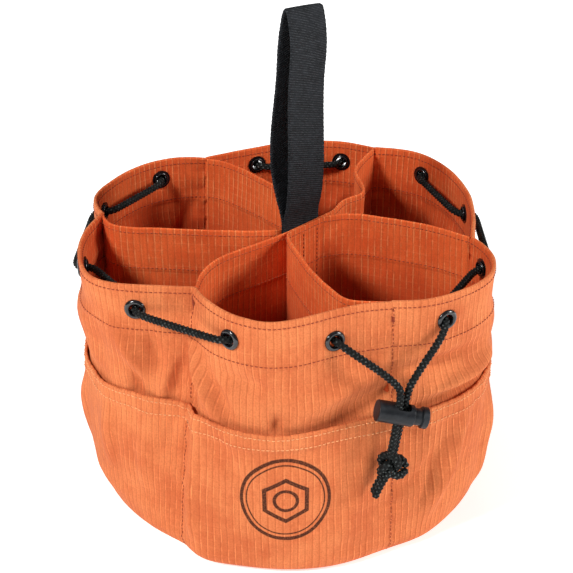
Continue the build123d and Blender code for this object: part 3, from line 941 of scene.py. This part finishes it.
# ---- pockets -------------------------------------------------------------------------------------
def pocket_sculpt(ring, hem_start):
    """How far the pockets' cloth stands out from the middle of the plain wall, in mm."""
    height = ring.heights[:, None]
    share = np.clip((height - BASE_T) / (POCKET_Z - BASE_T), 0, 1)
    seam = np.exp(-ring.to_seam / POCKET_SEAM_REACH)[None]
    places = ring.plan_places(ring.grid_z * 0.8)
    bulge = np.array([POCKET_BULGE[name] for name in LOBES])[ring.lobe]
    belly = (bulge * np.sin(math.pi * ring.f))[None] * share * (1 - np.clip(ring.swell() / 3, 0, 1))
    wander = 1.7 * soft_noise(places, 30.0, 1.9) + 0.8 * soft_noise(places, 13.0, 4.4)
    pucker = 0.6 * seam * np.sin(height / 13.0 * 2 * math.pi)
    loose = (wander + pucker + POCKET_FOLD_DEPTH * ring.folds(POCKET_FOLDS)) * smooth(height, 6, 28)
    roping = 0.28 * np.sin(ring.s[None] / 5.6 * 2 * math.pi + 4.0 * soft_noise(places, 16.0, 8.8))
    roping = roping * smooth(height, hem_start - 1, hem_start + 4)
    clear_of_wall = WALL_T / 2 + GAP + POCKET_T / 2
    return clear_of_wall + np.maximum(belly + loose + ring.swell(), wall_sculpt(ring) + 0.35) + roping


def make_pockets():
    hem_start = POCKET_Z - POCKET_HEM
    plain_z = np.arange(FOOT_LIFT + FOOT_ROUND, hem_start - 0.9, ROW_STEP)
    edge_z, edge_half = edge_rows(POCKET_Z, POCKET_HEM_T)
    stitch_z = hem_start + POCKET_HEM_STITCH
    ring = cloth_ring(plain_z, hem_rows(hem_start, stitch_z, POCKET_Z - 2, 1.5), edge_z)
    ring.sculpt(pocket_sculpt(ring, hem_start))
    half = half_thickness(ring.heights, POCKET_T, POCKET_HEM_T, hem_start, edge_half)
    inner = np.minimum(half, POCKET_T / 2)
    inner[-len(edge_half):] = edge_half * POCKET_T / POCKET_HEM_T
    seam = np.exp(-ring.to_seam / POCKET_SEAM_REACH)[None]
    front, back = ring.faces(half, inner, -LIP_DIP * seam * smooth(ring.heights, 84, 101)[:, None])
    for face in (front, back):
        face[..., 2] = np.maximum(face[..., 2], FLOOR_GAP)
    first = list(LOBES).index(MARK_LOBE) * LOBE_COLUMNS
    mark_at = (float(ring.u[first + round(MARK_FRACTION * LOBE_COLUMNS)]), MARK_HEIGHT)
    cloth = canvas_material("canvas_pockets", mark_at=mark_at)
    pockets = mesh_object("canvas_pockets", *shell(front, back, *ring.uv(), wrap=True), cloth)
    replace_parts(pockets, "pocket_band")

    rows = [stitch_row(ring, front, z) for z in (stitch_z, POCKET_Z - EDGE_STITCH)]
    mesh_object("pocket_stitches_hem", *joined(rows), LIGHT_THREAD)
    seams = stitch_seams(ring, front, slice(4, -len(edge_z)))
    mesh_object("pocket_stitches_seam", *joined(seams), SHADED_THREAD)


# ---- base ----------------------------------------------------------------------------------------
BASE_MIDDLE_Z = 1.35           # middle of the base's thickness
BASE_HALF = 1.05


def make_base():
    """Two layers of canvas with a bound edge, a little inside the rounded foot of the wall."""
    ring = Ring([BASE_T], [FOOT_ROUND * 0.78], [0.0])
    edge = ring.points[0, :, :2]
    shares = np.concatenate([[0.02], np.linspace(0.08, 0.94, 24), [0.97, 0.985, 0.995, 1.0]])
    plan = edge[None] * shares[:, None, None]
    spots = np.concatenate([plan, np.zeros(plan.shape[:2] + (1,))], axis=2)
    wave = 0.35 * soft_noise(spots, 22.0, 2.2)
    past_edge = ((shares - 0.985) / 0.0152).clip(0, 1)
    half = BASE_HALF * np.sqrt(np.clip(1 - past_edge**2, 0.02, 1))[:, None]
    top = BASE_MIDDLE_Z + half + np.maximum(wave, -0.2)
    bottom = np.repeat(BASE_MIDDLE_Z - half, plan.shape[1], axis=1)
    front = np.concatenate([plan, top[..., None]], axis=2)
    back = np.concatenate([plan, bottom[..., None]], axis=2)
    x = np.concatenate([plan[..., 0], plan[:, :1, 0]], axis=1)
    y = np.concatenate([plan[..., 1], plan[:, :1, 1]], axis=1)
    points, faces, uv = shell(front, back, x, y, wrap=True, cap=True)
    # painted shade: the base takes the inside canvas, drawn darker and redder for shade
    base = mesh_object("canvas_base", points, faces[:, ::-1], uv[:, ::-1], SHADED_INSIDE_CANVAS)
    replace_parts(base, "base_panel")
    ring_line = np.concatenate([front[-5], front[-5][:1]])
    up = np.repeat([[0, 0, 1.0]], len(ring_line), axis=0)
    mesh_object("base_stitches", *stitches(ring_line, up, 0.1), SHADED_THREAD)


# ---- dividers ------------------------------------------------------------------------------------
WING_POINTS = 60               # mesh columns in each wing of a strip
CORE_X = np.linspace(CORE_X0, CORE_X1, 17)[1:-1]


def seam_spot(name, inset, rim):
    lobe = SEAM_LOBES[name]
    angle, radius = LOBES[lobe][0]
    return on_circle((radius if rim else seam_foot_radius(lobe)) - inset, angle)


def divider_plan(spec, edge):
    """Plan line of a strip, with the same share of the points in each wing and in the core."""
    inset = WALL_T + 0.35
    start = seam_spot(spec["seams"][0], inset, edge == "top")
    finish = seam_spot(spec["seams"][1], inset, edge == "top")
    left = Line2([start] + spec["left_" + edge] + [(CORE_X0, spec["core_y"])])
    right = Line2([(CORE_X1, spec["core_y"])] + spec["right_" + edge] + [finish])
    core = np.stack([CORE_X, np.full(len(CORE_X), spec["core_y"])], axis=1)
    shares = np.linspace(0, 1, WING_POINTS)
    return np.concatenate([left.at(shares), core, right.at(shares)])


def make_divider(name, spec, seed):
    edge_z, edge_half = edge_rows(DIVIDER_TOP, DIVIDER_HEM_T)
    plain_z = np.arange(BASE_T, DIVIDER_HEM_Z - 0.9, 2.6)
    stitch_z = DIVIDER_HEM_Z + DIVIDER_HEM_STITCH
    hem_z = hem_rows(DIVIDER_HEM_Z, stitch_z, DIVIDER_TOP - 1.6, 2.0)
    heights = np.concatenate([plain_z, hem_z, edge_z])
    top, foot = divider_plan(spec, "top"), divider_plan(spec, "foot")
    share = ((heights - BASE_T) / (DIVIDER_TOP - BASE_T))[:, None, None]
    plan = foot[None] + (top - foot)[None] * share
    along = np.gradient(plan, axis=1)
    along /= np.linalg.norm(along, axis=2, keepdims=True)
    normal = np.stack([along[..., 1], -along[..., 0], np.zeros(along.shape[:2])], axis=2)
    z = np.repeat(heights[:, None], plan.shape[1], axis=1)
    middle = np.concatenate([plan, z[..., None]], axis=2)
    s = distances(top)
    core_from, core_to = s[WING_POINTS - 1], s[WING_POINTS + len(CORE_X)]
    to_core = np.minimum(np.abs(s - core_from), np.abs(s - core_to)) * ((s < core_from) | (s > core_to))
    free = smooth(to_core, 2, 26) * smooth(np.minimum(s, s[-1] - s), 1, 22)
    sway = 2.0 * soft_noise(middle * [1, 1, 0.35], 38.0, seed) + 0.8 * soft_noise(middle, 15.0, seed + 4)
    bow = sway * free[None] * (0.55 + 0.45 * smooth(z, 160, 60))
    middle = middle + normal * bow[..., None]
    half = half_thickness(heights, DIVIDER_T, DIVIDER_HEM_T, DIVIDER_HEM_Z, edge_half)
    in_core = 1 - smooth(to_core, 0, 6)
    half = half[:, None] * (1 - in_core[None]) + np.minimum(half, DIVIDER_T / 2)[:, None] * in_core[None]
    front = middle + normal * half[..., None]
    back = middle - normal * half[..., None]
    u = np.repeat(s[None], len(heights), axis=0)
    cloth = mesh_object(name + "_canvas", *shell(front, back, u, z), DIVIDER_CANVAS)
    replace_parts(cloth, name)
    rows = []
    for height in (stitch_z, DIVIDER_TOP - 3):
        i = int(np.argmin(np.abs(heights - height)))
        for face, turn in ((front, 1), (back, -1)):
            rows.append(stitches(face[i], normal[i] * turn, 0.1, radius=0.3))
    mesh_object(name + "_stitches", *joined(rows), INSIDE_THREAD)


CORE_STITCH_X = (5.6, 17.4)


def make_core_stitches():
    """Rows that sew the three strips and the webbing together, on the front of the core."""
    parts = []
    y = DIVIDERS["divider_front"]["core_y"] - DIVIDER_T / 2
    for x in CORE_STITCH_X:
        line = np.array([[x, y, z] for z in (6, 60, 110, 167)])
        out = np.repeat([[0, -1.0, 0]], len(line), axis=0)
        parts.append(stitches(line, out, 0.1))
    mesh_object("core_stitches", *joined(parts), SHADED_THREAD)


# ---- handle --------------------------------------------------------------------------------------
WEBBING_T = 1.8
WEBBING_HALF = 15.0            # half of its width
WEBBING_FOOT = 62.0            # its ends are sewn in the core from here up
LEG_Y = (-6.95, -5.05)         # front and back leg in the core
# (y, z) along the middle of the webbing, up the front leg, over the top and down the back leg
HANDLE_LINE = [
    (-6.95, 140), (-6.95, 165), (-6.95, 177.5), (-8.6, 185), (-10.2, 198), (-10.6, 225), (-10.6, 265),
    (-10.2, 297), (-7.6, 304.2), (-4.8, 297), (-1, 265), (3.1, 230), (3.2, 214), (1.2, 199),
    (-2.6, 186), (-5.05, 177.5), (-5.05, 165), (-5.05, 140),
]


def make_handle():
    """Flat webbing with a slightly cupped face and a woven selvedge at each side."""
    line = Line2(HANDLE_LINE, 1600)
    share = np.linspace(0, 1, 420)
    front_foot, back_foot = [[(y, WEBBING_FOOT)] for y in LEG_Y]
    yz = np.concatenate([front_foot, line.at(share), back_foot])
    along = line.direction(share)
    along = np.concatenate([along[:1], along, along[-1:]])
    out = np.stack([-along[:, 1], along[:, 0]], axis=1)
    side = np.array([14.2, 14.7, WEBBING_HALF])
    across = np.concatenate([-side[::-1], np.linspace(-13.2, 13.2, 22), side])
    rounding = np.clip(np.abs(across) - 13.9, 0, None) / 1.12
    half = (WEBBING_T / 2 * np.sqrt(np.clip(1 - rounding**2, 0.03, 1)))[None, :, None]
    share_across = across[None] / WEBBING_HALF
    s = distances(yz)
    free = smooth(yz[:, 1:], 176, 215)          # 0 in the core, 1 where the loop is open
    selvedge = np.sign(across) * (np.abs(across) > 14.5)
    tooth = 0.12 * np.sign(np.sin(s / 1.3 * math.pi)) * smooth(yz[:, 1], 170, 176)
    width = across[None] * (1 - 0.004 * free) + selvedge[None] * tooth[:, None]
    lean = 0.35 * np.sin(s / 34.0)[:, None] * free
    cup = 0.45 * share_across**2 * free
    ripple = 0.18 * np.sin(s[:, None] / 21 + across[None] / 9) * free
    tilt = 3.0 - 2.2 * share_across + 0.9 * (1 - share_across**2)
    x = (CORE_X0 + CORE_X1) / 2 + width + lean
    y = yz[:, :1] + out[:, :1] * (cup + ripple)
    z = yz[:, 1:] + out[:, 1:] * (cup + ripple) + smooth(yz[:, 1:], 225, 305) * tilt
    centre = np.stack([x, y, z], axis=2)
    normal = np.zeros(centre.shape)
    normal[..., 1:] = out[:, None]
    u = np.repeat((across + WEBBING_HALF)[None], len(yz), axis=0)
    v = np.repeat(s[:, None], len(across), axis=1)
    skin = shell(centre + normal * half, centre - normal * half, u, v)
    strap = mesh_object("webbing_handle", *skin, WEBBING, body=None, slot="webbing")
    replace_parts(strap, "handle_loop", "handle_anchor")
    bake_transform(strap)


# ---- cords ---------------------------------------------------------------------------------------
def nurbs_line(name, route):
    """Points of a NURBS spline whose control points are the route, in mm."""
    curve = bpy.data.curves.new(name + "_route", "CURVE")
    curve.dimensions = "3D"
    curve.resolution_u = 24
    spline = curve.splines.new("NURBS")
    spline.points.add(len(route) - 1)
    for point, spot in zip(spline.points, route):
        point.co = (*(Vector(spot) * MM), 1.0)
    spline.order_u = 3
    spline.use_endpoint_u = True
    holder = bpy.data.objects.new(name + "_route", curve)
    bpy.context.scene.collection.objects.link(holder)
    mesh = bpy.data.meshes.new_from_object(holder)
    points = np.array([v.co for v in mesh.vertices]) / MM
    bpy.data.objects.remove(holder)
    bpy.data.curves.remove(curve)
    bpy.data.meshes.remove(mesh)
    return points


STRANDS = 4                    # strands each way round the braid
BRAID_PITCH = 10.6             # one strand's turn round the cord
BRAID_RISE = 0.7


def braid_crown(s, angle):
    """Height of the strands at a place on the cord, 0 to 1: both hands pass over and under."""
    turn = angle * STRANDS / (2 * math.pi)
    climb = s * STRANDS / BRAID_PITCH
    left, right = turn + climb, turn - climb
    over = (np.floor(left) + np.floor(right)) % 2 < 1
    across = np.where(over, left % 1.0, right % 1.0)
    lengthways = np.where(over, right % 1.0, left % 1.0)
    return np.sin(math.pi * across) * (0.45 + 0.55 * np.sin(math.pi * lengthways))


def braided(points, radius=CORD_D / 2, step=0.4, sides=32):
    """Quads of a braided cord along a line, and how high each point is on its strand."""
    path, at = resample(points, step)

    def ring_radius(s, angle):
        end = np.minimum(s, at[-1] - s)
        tip = np.sqrt(np.clip(1 - np.clip(1 - end / (radius * 0.6), 0, 1) ** 2, 0.02, 1))
        return (radius - BRAID_RISE * (1 - 1.3 * braid_crown(s, angle))) * tip

    angle = np.arange(sides) * 2 * math.pi / sides
    crown = braid_crown(at[:, None], angle[None, :]).ravel()
    return tube(path, ring_radius, sides), crown


def braid_object(name, runs):
    """One piece of one or more braided runs."""
    crown = np.concatenate([heights for _, heights in runs])
    return mesh_object(name, *joined([parts for parts, _ in runs]), CORD, slot="cord", crown=crown)


def beside(frame_at, distance):
    """The place this far out from the middle of an eyelet, or in where it is negative."""
    spot, out = frame_at
    return spot + out * distance


def with_straight_runs(route):
    """Adds two points to each long run between eyelets, about 6 cord diameters from its ends."""
    made = []
    for a, b in zip(route, route[1:]):
        made.append(a)
        run = (b - a).length
        if run > 30:
            reach = min(6 * CORD_D, run / 3)
            made += [a.lerp(b, reach / run), b.lerp(a, reach / run)]
    return made + [route[-1]]


def drawstring_route():
    """From inside the last eyelet of the left front lobe round the bag to inside the front's first."""
    stops = []
    for lobe in ("left_front", "left_back", "back", "right_back", "right", "front"):
        stops += [EYELETS[lobe][1], EYELETS[lobe][0]]
    route = [beside(stops[0], -CORD_EXIT), beside(stops[0], -CORD_EXIT - INNER_REACH)]
    inside = True
    for spot in stops[1:-1]:
        turns = [beside(spot, -INNER_REACH), beside(spot, OUTER_REACH)]
        route += turns if inside else turns[::-1]
        inside = not inside
    route += [beside(stops[-1], -CORD_EXIT - INNER_REACH), beside(stops[-1], -CORD_EXIT)]
    return with_straight_runs(route)


SAG = 0.3                      # dip of a free run between two eyelets


def sagging(route):
    """Lets the two middle points of each long run drop a little."""
    made = [p.copy() for p in route]
    for i in range(1, len(route) - 2):
        if (route[i + 1] - route[i]).length > 12 and (route[i] - route[i - 1]).length > 12:
            made[i].z -= SAG
            made[i + 1].z -= SAG
    return made


def pair_directions():
    """Along the two cords down through the lock, and from one cord to the other across its axis."""
    down = (KNOT_TOP - LOCK_AT).normalized()
    depth = LOCK_AXIS.cross(down).normalized()
    return down, depth


def free_end_route(frame_at, side):
    """Out of an eyelet, across to the cord lock, through it and on to the knot."""
    down, depth = pair_directions()
    offset = LOCK_AXIS * (side * PAIR_AXIAL) + depth * (side * PAIR_DEPTH)
    outside = beside(frame_at, FREE_REACH)
    entry = LOCK_AT + offset - down * LOCK_ENTRY
    half_turn = ((outside - entry).normalized() - down).normalized()
    inside, slanting = beside(frame_at, -CORD_EXIT), entry + half_turn * ENTRY_RUN
    return [inside, outside, slanting, entry, KNOT_TOP + offset]


def tip_route(side):
    """One short end below the knot, in a slight bow."""
    offset = pair_directions()[1] * (side * TIP_SPACING / 2)
    return [KNOT_MIDDLE + offset, (KNOT_MIDDLE + TAIL_END) / 2 + offset + TIP_BOW, TAIL_END + offset]


def make_drawstring():
    line = nurbs_line("drawstring", sagging(drawstring_route()))
    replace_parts(braid_object("drawstring_braid", [braided(line)]), "drawstring")


KNOT_SCALE = (2.7, 2.5, 2.6)   # mm per unit of the trefoil below, along the lock, up and across
KNOT_CORD_R = 2.45             # the cord is pulled flat in the knot


def make_knot():
    """Overhand knot pulled tight, with the two cut ends hanging from it."""
    down, depth = pair_directions()
    axes = np.array([LOCK_AXIS, -down, depth])
    turn = np.linspace(0, 2 * math.pi, 220)
    loop = np.stack([
        (2 + np.cos(3 * turn)) * np.cos(2 * turn) * KNOT_SCALE[0],
        (2 + np.cos(3 * turn)) * np.sin(2 * turn) * KNOT_SCALE[1],
        np.sin(3 * turn) * KNOT_SCALE[2],
    ], axis=1)
    path = np.array(KNOT_MIDDLE) + loop @ axes
    parts = [braided(path, KNOT_CORD_R)]
    for side in (-1, 1):
        parts.append(braided(nurbs_line("tip", tip_route(side))))
    knot = braid_object("cord_knot_and_tips", parts)
    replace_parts(knot, "cord_knot", "cord_tip_left", "cord_tip_right")
    return knot


def make_free_end(name, frame_at, side):
    line = nurbs_line(name, free_end_route(frame_at, side))
    cord = braid_object(name + "_braid", [braided(line)])
    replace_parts(cord, name)


# ---- eyelets -------------------------------------------------------------------------------------
# (radius, height from the middle of the wall), from the flange's outer edge over its dome, down the
# hole, round the lip inside the wall and back up the barrel to the flange
EYELET_PROFILE = [
    (6.25, 1.22), (6.22, 1.55), (6.0, 1.98), (5.6, 2.38), (5.1, 2.64), (4.6, 2.72), (4.1, 2.62),
    (3.7, 2.36), (3.4, 1.95), (3.24, 1.4), (3.2, 0.6), (3.2, -0.8), (3.2, -2.0), (3.3, -2.7),
    (3.6, -3.0), (4.1, -3.1), (4.5, -2.95), (4.65, -2.6), (4.6, -2.1), (4.2, -1.9), (3.7, -1.88),
    (3.6, -1.6), (3.6, 0.2), (3.6, 1.15), (4.2, 1.22), (5.4, 1.22),
]


def make_eyelet(number, frame_at, material):
    """Domed metal eyelet, turned on its axis, with its rolled lip on the inside of the wall."""
    spot, out = frame_at
    side = out.orthogonal().normalized()
    axes = np.array([side, out.cross(side), out])
    profile = np.array(EYELET_PROFILE)
    sides, rows = 64, len(profile)
    angle = np.arange(sides) * 2 * math.pi / sides
    ring = np.stack([np.cos(angle), np.sin(angle)], axis=1)
    plan, height = profile[:, None, :1] * ring[None], np.repeat(profile[:, None, 1:], sides, axis=1)
    local = np.concatenate([plan, height], axis=2)
    row, column = grid_corners(rows, sides)
    faces = (row % rows) * sides + column % sides
    uv = np.stack([column * 0.5, row * 0.5], axis=2)
    points = np.array(spot) + local.reshape(-1, 3) @ axes
    name = "eyelet_%02d" % number
    eyelet = mesh_object(name + "_domed", points, faces, uv, material, slot="eyelet_metal")
    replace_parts(eyelet, name)


def finish_hardware(lacquer):
    """Materials of the metal and plastic pieces that keep their CAD shape."""
    lock, steel = lock_material(), steel_material()
    finishes = {"lock_barrel": lock, "lock_plunger": lock, "lock_spring": steel}
    for name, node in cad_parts.items():
        finish = lacquer if name.startswith("eyelet_washer") else finishes.get(name)
        if finish:
            for material_slot in node.material_slots:
                material_slot.material = finish
            node.data.polygons.foreach_set("use_smooth", [True] * len(node.data.polygons))


def close_spring(node):
    """The spring in the lock gets a mesh of its own. Its seat, the corner lowest along the lock's axis, is
    found but not used.
    """
    corners = np.array([node.matrix_world @ v.co for v in node.data.vertices])
    along = corners @ np.array(LOCK_AXIS)
    seat = corners[along.argmin()]
    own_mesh(node)


# ---- floor, light and camera ---------------------------------------------------------------------
FLOOR_HALF = 6.0               # metres


def make_floor():
    """Pale floor that glows, about half as strongly near the object as away from it, so it turns to plain
    white away from the object.
    """
    mesh = bpy.data.meshes.new("floor")
    corners = [(x * FLOOR_HALF, y * FLOOR_HALF, 0) for x, y in ((-1, -1), (1, -1), (1, 1), (-1, 1))]
    mesh.from_pydata(corners, [], [(0, 1, 2, 3)])
    floor = bpy.data.objects.new("floor", mesh)
    bpy.context.scene.collection.objects.link(floor)
    paint_and_glow = Shader("floor_paint_and_glow", Roughness=0.7, Specular_IOR_Level=0.2)
    colour = paint_and_glow.mix(paint_and_glow.noise(3.0), (0.86, 0.86, 0.86), (0.9, 0.9, 0.9))
    paint_and_glow.set(paint_and_glow.surface, "Base Color", colour)
    # painted light: the floor glows white, and its glow also lights the bag from below
    paint_and_glow.set(paint_and_glow.surface, "Emission Color", (1, 1, 1, 1))
    away = paint_and_glow.node("ShaderNodeVectorMath", {0: paint_and_glow.place()}, operation="LENGTH").outputs["Value"]
    paint_and_glow.set(paint_and_glow.surface, "Emission Strength", paint_and_glow.ramp(away, 0.2, 0.9, 0.52, 1.0))
    mesh.materials.append(paint_and_glow.material)


def area_light(name, place, aim, size, power):
    """A round soft light, in metres and watts."""
    light = bpy.data.lights.new(name, "AREA")
    light.shape = "DISK"
    light.size = size
    light.energy = power
    lamp = bpy.data.objects.new(name, light)
    lamp.location = place
    lamp.rotation_mode = "QUATERNION"
    lamp.rotation_quaternion = (Vector(aim) - Vector(place)).to_track_quat("-Z", "Y")
    bpy.context.scene.collection.objects.link(lamp)


def make_world(strength):
    """Even white light from all round."""
    world = bpy.data.worlds.new("studio")
    world.use_nodes = True
    background = world.node_tree.nodes["Background"]
    background.inputs["Color"].default_value = (1, 1, 1, 1)
    background.inputs["Strength"].default_value = strength
    bpy.context.scene.world = world


CAMERA_LENS = 106.2
CAMERA_AT = (-0.6522, -0.6326, 0.6319)
CAMERA_AIM = (0.0142, 0.0123, 0.1173)


def make_camera():
    data = bpy.data.cameras.new("camera")
    data.sensor_width = 36
    data.lens = CAMERA_LENS
    camera = bpy.data.objects.new("camera", data)
    camera.location = CAMERA_AT
    camera.rotation_mode = "QUATERNION"
    camera.rotation_quaternion = (Vector(CAMERA_AIM) - Vector(CAMERA_AT)).to_track_quat("-Z", "Y")
    bpy.context.scene.collection.objects.link(camera)
    bpy.context.scene.camera = camera


# ---- assembly ------------------------------------------------------------------------------------
make_wall()
make_bar_tacks()
make_pockets()
make_base()
for number, (divider, spec) in enumerate(DIVIDERS.items()):
    make_divider(divider, spec, 11.3 + 7.7 * number)
make_core_stitches()
make_handle()
make_drawstring()
cord_knot = make_knot()
make_free_end("cord_end_left", EYELETS["left_front"][1], -1)
make_free_end("cord_end_right", EYELETS["front"][0], 1)
eyelet_lacquer = lacquer_material()
for number, spot in enumerate([spot for pair in EYELETS.values() for spot in pair], 1):
    make_eyelet(number, spot, eyelet_lacquer)
finish_hardware(eyelet_lacquer)
close_spring(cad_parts["lock_spring"])

make_floor()
area_light("key", (-1.65, 0.05, 1.4), (0, 0, 0.08), 0.4, 35.5)
area_light("fill", (1.05, -1.8, 1.0), (0, 0, 0.1), 0.7, 34)
area_light("top", (0.1, 0.3, 2.2), (0, 0, 0.1), 1.2, 6)
make_world(0.19)
bpy.context.scene.view_settings.view_transform = "Standard"
make_camera()
